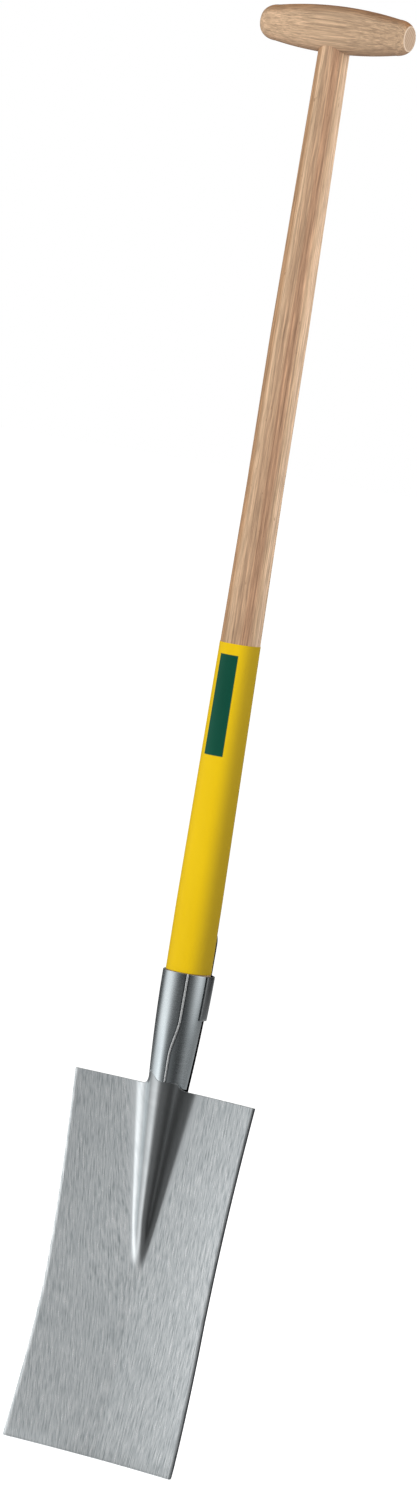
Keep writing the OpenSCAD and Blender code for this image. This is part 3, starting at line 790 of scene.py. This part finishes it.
def seam_turn(drop):
    """Angle of the front seam from the front, at a distance below the rim."""
    share = (drop - SEAM_STRAIGHT + SEAM_EASE) / (SEAM_SLANT + 2 * SEAM_EASE)
    return mix(SEAM_TOP, SEAM_LOW, ease(share))


def seam_lift(offset):
    """Height of the seam's bead and its side grooves, by the distance from its middle in half widths."""
    bead = SEAM_H * (0.5 + 0.5 * cos(pi * min(1.0, abs(offset))))
    return bead - GROOVE_DEPTH * exp(-((abs(offset) - GROOVE_AT) / GROOVE_W) ** 2)


def foot_at(turn):
    """Height of the socket's foot, along the blade's top edge, at an angle from the front."""
    if abs(turn) < DOME_SLOPE:
        return NECK_Z + ear(turn)
    # The first step along the fillet that lies as far out as the socket's wall
    x = NECK_R * sin(abs(turn))
    for step in range(FOOT_STEPS + 1):
        k = step / FOOT_STEPS
        if DOME_HALF - DOME_FILLET * sin(DOME_SLOPE * (1 - k)) >= x:
            break
    rise = NECK_RISE + (ear(-DOME_SLOPE) if turn < 0 else 0.0)
    return BLADE_H + rise * (1 - k) ** SWEEP_UP


def socket_point(column, share, face):
    """Point of the socket, a share of the way from rim to foot. A column has a side of the seam, or 0 for
    its bead, and a share of that side, or an offset in half widths of the bead."""
    side, k = column
    seam = seam_turn(share * SOCKET_LEN)
    wide = SEAM_W / 2 / socket_r(share * SOCKET_LEN)
    turn = mix(side * SOCKET_HALF, seam + side * BEAD_REACH * wide, k) if side else seam + k * wide
    foot_z = foot_at(turn)
    radius = socket_r(RIM_Z - foot_z)
    foot = (foot_z - RIM_Z - radius * cos(turn) * sin(HEAD_LEAN)) / cos(HEAD_LEAN)
    h = share * foot
    r = socket_r(-h)
    loss = corner_loss(min(-h, h - foot, r * (SOCKET_HALF - abs(turn))), SOCKET_LIP)
    lift = 0.0 if side else seam_lift(k)
    r += lift - loss if face > 0 else loss - SHEET_T
    return on_head(r * sin(turn), -r * cos(turn), h)


def make_socket():
    bead_n = BEAD_REACH * BEAD_STEPS
    columns = [(-1, k / SOCKET_SIDES) for k in range(SOCKET_SIDES)]
    columns += [(0, k / BEAD_STEPS) for k in range(-bead_n, bead_n + 1)]
    columns += [(1, k / SOCKET_SIDES) for k in reversed(range(SOCKET_SIDES))]
    shape = sheet(columns, rounded_steps(1.0, SOCKET_LIP / SOCKET_LEN, SOCKET_ROWS), socket_point)
    piece("front_socket", *shape, "socket", "socket_steel", SOCKET_LOOK, sharp=BEAD_SHARP)


def collar_point(along, drop, face):
    """Point of the collar, by the way round it from its right end and below the rim."""
    turn = COLLAR_RIGHT + along / RIM_R
    loss = corner_loss(min(drop, COLLAR_H - drop, along, COLLAR_ARC - along), COLLAR_LIP)
    r = socket_r(drop) + LAP_GAP + (COLLAR_T - loss if face > 0 else loss)
    return on_head(r * sin(turn), -r * cos(turn), -drop)


def make_collar():
    drops = rounded_steps(COLLAR_H, COLLAR_LIP, COLLAR_ROWS)
    sides = rounded_steps(COLLAR_ARC, COLLAR_LIP, COLLAR_SIDES)
    shape = sheet(sides, drops, collar_point)
    piece("back_collar", *shape, "collar", "socket_steel", COLLAR_LOOK)


def strap_half(z):
    share = ease((z - RIM_Z + COLLAR_H) / COLLAR_H)
    lost = corner_loss(z - STRAP_FOOT_Z, STRAP_CORNER) + corner_loss(TONGUE_TOP_Z - z, TONGUE_ROUND)
    return mix(STRAP_W, TONGUE_W, share) / 2 - lost


def strap_point(share, z, face):
    """Point of the strap at a share of its half width."""
    wide = strap_half(z)
    loss = corner_loss(min(wide * (1 - abs(share)), z - STRAP_FOOT_Z, TONGUE_TOP_Z - z), STRAP_LIP)
    half_t = face * (SHEET_T / 2 - loss)
    up = ease((z - STRAP_FOOT_Z - STRAP_FLAT) / (NECK_Z - STRAP_FOOT_Z - STRAP_FLAT))
    r = socket_r(RIM_Z - z) - SHEET_T / 2
    bend = max(FLAT_BEND, up ** BEND_LAG / r)
    y_mid = mix(plate_y(z) + BLADE_T / 2 + LAP_GAP + SHEET_T / 2, head_y(z) + r, up)
    turn = wide * bend * share
    x = sin(turn) / bend
    dish = (1 - up) * DISH * (x / (WAIST_W / 2)) ** 2
    y = y_mid - (1 - cos(turn)) / bend - dish - cos(turn) * half_t
    return x - sin(turn) * half_t, y, z


def make_strap():
    low, high = STRAP_FOOT_Z + STRAP_CORNER, TONGUE_TOP_Z - TONGUE_ROUND
    heights = [STRAP_FOOT_Z + STRAP_CORNER * quarter(a) for a in range(0, 90, 10)]
    heights += list(np.linspace(low, high, STRAP_ROWS))
    heights += [high + TONGUE_ROUND * sin(radians(a)) for a in range(6, 91, 6)]
    middle = list(np.linspace(-STRAP_MIDDLE, STRAP_MIDDLE, STRAP_COLUMNS))
    shares = [-e for e in STRAP_EDGE] + middle + list(reversed(STRAP_EDGE))
    shape = sheet(shares, heights, strap_point)
    piece("long_strap", *shape, "back_strap", "strap_steel", STRAP_LOOK)


# Screws

# Steps over a head, and how far its underside is drawn in
HEAD_STEPS, HEAD_UNDER = 14, 0.15
# The slots: half width, floor above the seat, half length and top of the cutter, and a turn for each screw
SLOT_HALF, SLOT_FLOOR, SLOT_REACH, SLOT_TOP, SLOT_TURNS = 0.55, 1.3, 9.0, 6.0, (0.35, -0.6)
SLOT_CORNERS = [(x * SLOT_REACH, y * SLOT_HALF) for x, y in SQUARE]
BOX_FACES = [(0, 1, 2, 3), (4, 5, 6, 7), (0, 1, 5, 4), (1, 2, 6, 5), (2, 3, 7, 6), (3, 0, 4, 7)]


def make_screws():
    """Two round-head screws with a slot, driven in from the back."""
    seats = [(socket_r(NECK_SCREW_DROP - SCREW_HEAD_R) + LAP_GAP, -NECK_SCREW_DROP),
             (RIM_R + LAP_GAP, TONGUE_H - TONGUE_SCREW_DROP)]
    dome_r = (SCREW_HEAD_R ** 2 + SCREW_HEAD_H ** 2) / (2 * SCREW_HEAD_H)
    sweep = asin(SCREW_HEAD_R / dome_r)
    angles = [sweep * k / HEAD_STEPS for k in range(HEAD_STEPS + 1)]
    profile = [(dome_r * sin(a), SCREW_HEAD_H - dome_r * (1 - cos(a))) for a in angles]
    profile += [(SCREW_HEAD_R - HEAD_UNDER, 0.0), (SCREW_R, 0.0), (SCREW_R, SCREW_POINT - SCREW_LEN),
                (SCREW_TIP_R, -SCREW_LEN), (0.0, -SCREW_LEN)]
    points, faces, tools = [], [], []
    for turned, (radius, height) in zip(SLOT_TURNS, seats):
        def place(x, y, h, radius=radius, height=height):
            return on_head(x, radius + h, height + y)
        more, shapes = lathe(profile, place, segments=64)
        faces += [tuple(len(points) + k for k in f) for f in shapes]
        points += more
        c, s = cos(turned), sin(turned)
        slot = [place(x * c - y * s, x * s + y * c, h)
                for h in (SLOT_FLOOR, SLOT_TOP) for x, y in SLOT_CORNERS]
        tools.append(solid("tool", slot, BOX_FACES))
    screws = piece("strap_screw_pair", points, faces, "strap_screws", "screw_steel", SCREW_LOOK)
    cut(screws, *tools)


# Wood, film and pin

# Chamfers of the shaft's ends and steps along it and along the film
SHAFT_CHAMFER, SHAFT_ROWS, SLEEVE_ROWS = 1.0, 150, 60
# Lips of the film: height and length of the lower and of the upper one, and extra rows over both
LOW_LIP, LOW_LIP_LEN, LOW_LIP_ROWS = 0.14, 1.4, (0.4, 0.8, 1.3, 2.0, 3.0)
HIGH_LIP, HIGH_LIP_LEN, HIGH_LIP_ROWS = 0.06, 0.8, (0.3, 0.7, 1.2, 2.0)
# Steps along half the grip's barrel and its rounded end
BARREL_STEPS, END_STEPS = 40, 14
# Bevel of the grip's flats, as distances out from the rim and in from the end
GRIP_BEVEL = ((0.35, 0.3), (0.1, 0.08), (-0.3, 0.0))
# Chamfer of the pin's front end, and losses of radius and length over its rounded back end
PIN_CHAMFER, PIN_ROUND = 0.3, ((0.0, 0.4), (0.15, 0.12), (0.5, 0.0))


def shaft_r(z):
    if z <= BELLY_Z:
        return WOOD_R
    if z <= CLIP_Z:
        return mix(WOOD_R, CLIP_R, (z - BELLY_Z) / (CLIP_Z - BELLY_Z))
    if z <= CLIP_TOP_Z:
        return CLIP_R
    if z <= TENON_Z:
        return mix(CLIP_R, TENON_R, (z - CLIP_TOP_Z) / (TENON_Z - CLIP_TOP_Z))
    return TENON_R


def make_shaft():
    """The shaft from its nose in the leaning socket to its tenon in the grip."""
    nose_z, nose_r = -SOCKET_LEN - NOSE_LEN, WOOD_R - NOSE_STEP
    nose = [(0.0, nose_z), (NOSE_END_R - SHAFT_CHAMFER, nose_z), (NOSE_END_R, nose_z + SHAFT_CHAMFER),
            (NECK_R - BLADE_T - WOOD_GAP, -SOCKET_LEN), (socket_r(COLLAR_H) - RIM_R + nose_r, -COLLAR_H),
            (nose_r, -SHOULDER_DROP - SHAFT_CHAMFER)]
    low, top = RIM_Z - SHOULDER_DROP, GRIP_Z + TENON_PAST
    rows = [mix(low, top - SHAFT_CHAMFER, k / SHAFT_ROWS) for k in range(SHAFT_ROWS + 1)]
    body = [(shaft_r(z), z) for z in rows] + [(TENON_R - SHAFT_CHAMFER, top), (0.0, top)]

    def place(x, y, h):
        # Heights below zero run down the socket's axis from its rim
        return on_head(x, y, h) if h < 0 else upright(x, y, h)

    piece("turned_shaft", *lathe(nose + body, place), "shaft", "shaft_ash", SHAFT_LOOK)


def make_sleeve():
    low = RIM_Z + SLEEVE_LIFT
    high = low + SLEEVE_LEN

    def lip(z):
        lower = LOW_LIP * exp(-((z - low) / LOW_LIP_LEN) ** 2)
        return lower + HIGH_LIP * exp(-((high - z) / HIGH_LIP_LEN) ** 2)

    rows = [mix(low, high, k / SLEEVE_ROWS) for k in range(SLEEVE_ROWS + 1)]
    rows += [low + d for d in LOW_LIP_ROWS] + [high - d for d in HIGH_LIP_ROWS]
    outer = [(shaft_r(z) + FILM_GAP + SLEEVE_T + lip(z), z) for z in sorted(rows)]
    inner = [(shaft_r(z) + FILM_GAP, z) for z in (high, BELLY_Z, low)]
    shape = lathe(outer + inner, upright, closed=True)
    piece("film_sleeve", *shape, "sleeve", "sleeve_film", SLEEVE_LOOK)


def barrel_r(x):
    return GRIP_R - GRIP_BOW + sqrt(GRIP_BOW ** 2 - x * x)


def drill(radius, low, high):
    """Profile of a plain round cutter."""
    return [(0.0, low), (radius, low), (radius, high), (0.0, high)]


def make_grip():
    """The grip with its bores for the tenon and the pin."""
    half = GRIP_LEN / 2 - GRIP_ROUND
    side = [(barrel_r(half * k / BARREL_STEPS), half * k / BARREL_STEPS) for k in range(BARREL_STEPS + 1)]
    for k in range(1, END_STEPS + 1):
        turn = GRIP_END_TURN * k / END_STEPS
        inward = (1 - cos(turn)) / (1 - cos(GRIP_END_TURN))
        side.append((mix(barrel_r(half), GRIP_FLAT_R, inward),
                     half + GRIP_ROUND * sin(turn) / sin(GRIP_END_TURN)))
    rim_r, rim_x = side.pop()
    side += [(rim_r + outward, rim_x - inset) for outward, inset in GRIP_BEVEL]
    side.append((0.0, rim_x))
    profile = [(r, -h) for r, h in reversed(side[1:])] + side
    grip = piece("cross_grip", *lathe(profile, sideways), "grip", "grip_ash", GRIP_LOOK)
    tenon = drill(TENON_R + BORE_GAP, GRIP_Z - 2 * GRIP_R, GRIP_Z + TENON_PAST + BORE_GAP)
    bore = drill(PIN_R + BORE_GAP, PIN_BLIND - GRIP_R, 2 * GRIP_R)
    tenon_tool = solid("tool", *lathe(tenon, upright, segments=96))
    bore_tool = solid("tool", *lathe(bore, backwards, segments=48))
    cut(grip, tenon_tool, bore_tool)


def make_pin():
    low, high = PIN_BLIND + BORE_GAP - GRIP_R, GRIP_R - PIN_SINK
    profile = [(0.0, low), (PIN_R - PIN_CHAMFER, low), (PIN_R, low + PIN_CHAMFER)]
    profile += [(PIN_R - inward, high - below) for inward, below in PIN_ROUND]
    profile.append((0.0, high))
    shape = lathe(profile, backwards, segments=48)
    piece("grip_cross_pin", *shape, "grip_pin", "screw_steel", SCREW_LOOK)


make_blade()
make_socket()
make_collar()
make_strap()
make_screws()
make_shaft()
make_sleeve()
make_grip()
make_pin()


# Camera, studio and light, in metres apart from the camera's place

# Strength of the even light from all round and of the floor's glow where it is seen, and the floor's reach
WORLD_FILL, FLOOR_GLOW, FLOOR_REACH = 0.42, 0.72, 30.0
# Light of the tent by the angle from the front, in degrees
TENT_UPPER = (
    (-180, 0.20), (-170, 0.30), (-155, 0.28), (-140, 0.08), (-120, 0.06), (-104, 0.09), (-92, 0.24),
    (-80, 0.70), (-68, 1.12), (-52, 1.12), (-40, 0.92), (-28, 0.52), (-16, 0.26), (-4, 0.10), (8, 0.06),
    (32, 0.06), (44, 0.08), (56, 0.16), (68, 0.42), (80, 0.82), (92, 1.04), (104, 0.85), (116, 0.45),
    (130, 0.12), (150, 0.04), (170, 0.05), (180, 0.20))
TENT_LOWER = (
    (-180, 0.55), (-150, 0.55), (-120, 0.45), (-100, 0.58), (-88, 0.72), (-76, 0.90), (-64, 1.08),
    (-52, 1.34), (-40, 1.65), (-28, 0.58), (-16, 0.15), (-4, 0.16), (8, 0.21), (20, 0.18), (32, 0.11),
    (44, 0.06), (58, 0.045), (72, 0.09), (85, 0.16), (100, 0.19), (120, 0.24), (140, 0.33), (155, 0.40),
    (180, 0.55))
TENT_PEAK = max(level for _, level in TENT_UPPER + TENT_LOWER)
# Heights between which the lower light gives way to the upper, and how much lower they lie on the far left
TENT_BREAK, FAR_LEFT, FAR_LEFT_DROP = (0.21, 0.29), radians(-70), 0.08
# Light of the ground, the height below which the tent counts as ground, and where its even part begins
GROUND_LIGHT, GROUND_TOP, GROUND_FADE = 0.5, 0.01, (-0.02, 0.01)
# Steps round the tent, its radius and top, its height above the floor and the radius of its open middle
TENT_STEPS, TENT_R, TENT_TOP, TENT_LIFT, TENT_HOLE_R = 96, 0.75, 2.4, 0.0005, 0.0005


def make_camera():
    """The camera fitted to the photograph's outlines."""
    yaw, rise, roll = radians(27.952), radians(4.238), radians(8.983)
    distance, focal_px, image_h = 4365.842, 5451.958, 1485
    target = Vector((-14.481, SHAFT_Y, 578.534)) * MM
    back = Vector((sin(yaw) * cos(rise), -cos(yaw) * cos(rise), sin(rise)))
    level = Vector((cos(yaw), sin(yaw), 0))
    high = back.cross(level)
    right = level * cos(roll) + high * sin(roll)
    up = high * cos(roll) - level * sin(roll)
    data = bpy.data.cameras.new("camera")
    data.sensor_width = 36
    data.lens = focal_px * data.sensor_width / image_h
    data.clip_end = 100
    camera = bpy.data.objects.new("camera", data)
    scene.collection.objects.link(camera)
    turned = Matrix((right, up, back)).transposed().to_4x4()
    camera.matrix_world = Matrix.Translation(target + back * distance * MM) @ turned
    scene.camera = camera


def make_world():
    """Even fill light that is seen as plain white."""
    world = bpy.data.worlds.new("studio")
    scene.world = world
    nodes = Nodes(world)
    fill, white = (nodes.add("ShaderNodeBackground", {"Color": (1, 1, 1, 1), "Strength": strength})
                   for strength in (WORLD_FILL, 1.0))
    pick = {0: nodes.seen(), 1: fill.outputs[0], 2: white.outputs[0]}
    picked = nodes.add("ShaderNodeMixShader", pick).outputs[0]
    nodes.add("ShaderNodeOutputWorld", {"Surface": picked})


def studio_mesh(name, points, faces, material):
    """A mesh that is no piece of the part."""
    mesh = bpy.data.meshes.new(name)
    mesh.from_pydata(points, [], faces)
    mesh.materials.append(material)
    obj = bpy.data.objects.new(name, mesh)
    scene.collection.objects.link(obj)
    return obj


def make_floor():
    """A pale floor that takes shadows and glows white where it is seen."""
    look = Look("pale_floor", Roughness=0.9, Specular_IOR_Level=0.0, Emission_Color=(1, 1, 1, 1))
    speckle = look.noise((40, 40, 40), detail=3)
    look.set("Base Color", look.tint(speckle, grey(0.78), grey(0.82)))
    look.set("Emission Strength", look.times(look.seen(), FLOOR_GLOW))
    corners = [(x * FLOOR_REACH, y * FLOOR_REACH, 0) for x, y in SQUARE]
    floor = studio_mesh("floor", corners, [(0, 1, 2, 3)], look.material)


def tent_cloth():
    """Light that changes with the angle from the front, in a lower and an upper band."""
    look = Look("tent_cloth", Roughness=1.0, Base_Color=(0, 0, 0, 1), Specular_IOR_Level=0.0,
                Emission_Strength=TENT_PEAK)
    x, y, z = look.split(look.place)
    turn = look.turn(x, look.minus(SHAFT_Y * MM, y))
    upper, lower = (look.stripes(turn, [(angle, grey(level / TENT_PEAK)) for angle, level in lights])
                    for lights in (TENT_UPPER, TENT_LOWER))
    # The ground behind the blade is evenly lit
    behind = look.times(look.math("LESS_THAN", z, GROUND_TOP), look.span(y, *GROUND_FADE))
    lower = look.blend(behind, lower, grey(GROUND_LIGHT / TENT_PEAK))
    # The change of height lies lower on the far left
    shift = look.times(look.math("LESS_THAN", turn, FAR_LEFT), FAR_LEFT_DROP)
    raised = look.span(look.plus(z, shift), *TENT_BREAK, smooth=True)
    look.set("Emission Color", look.blend(raised, lower, upper))
    return look.material


def make_tent():
    """A round studio tent that only reflections show."""
    points = []
    for k in range(TENT_STEPS):
        turn = 2 * pi * k / TENT_STEPS
        for r, z in ((TENT_HOLE_R, TENT_LIFT), (TENT_R, TENT_LIFT), (TENT_R, TENT_TOP)):
            points.append((r * sin(turn), SHAFT_Y * MM - r * cos(turn), z))
    faces = []
    for k in range(TENT_STEPS):
        a, b = 3 * k, 3 * ((k + 1) % TENT_STEPS)
        faces += [(a, a + 1, b + 1, b), (a + 1, a + 2, b + 2, b + 1)]
    tent = studio_mesh("tent", points, faces, tent_cloth())
    for ray in ("camera", "diffuse", "transmission", "volume_scatter", "shadow"):
        setattr(tent, "visible_" + ray, False)


def make_lamp(name, turn, height, distance, size, power, aim):
    """A soft rectangular lamp at an angle from the front, aimed at a height on the shaft."""
    data = bpy.data.lights.new(name, "AREA")
    data.shape = "RECTANGLE"
    data.size, data.size_y = size
    data.energy = power
    lamp = bpy.data.objects.new(name, data)
    scene.collection.objects.link(lamp)
    angle = radians(turn)
    lamp.location = (distance * sin(angle), SHAFT_Y * MM - distance * cos(angle), height)
    toward = Vector((0, SHAFT_Y * MM, aim)) - lamp.location
    lamp.rotation_mode = "QUATERNION"
    lamp.rotation_quaternion = toward.to_track_quat("-Z", "Y")
    lamp.visible_camera = False
    lamp.visible_glossy = False


make_camera()
make_world()
make_floor()
make_tent()
make_lamp("key", turn=-12, height=1.4, distance=2.4, size=(1.2, 2.0), power=38, aim=0.6)
make_lamp("upper_right", turn=98, height=1.2, distance=0.9, size=(0.5, 0.5), power=6.0, aim=0.95)
make_lamp("back", turn=170, height=1.3, distance=2.4, size=(1.2, 1.8), power=12.0, aim=0.6)
scene.view_settings.view_transform = "Standard"
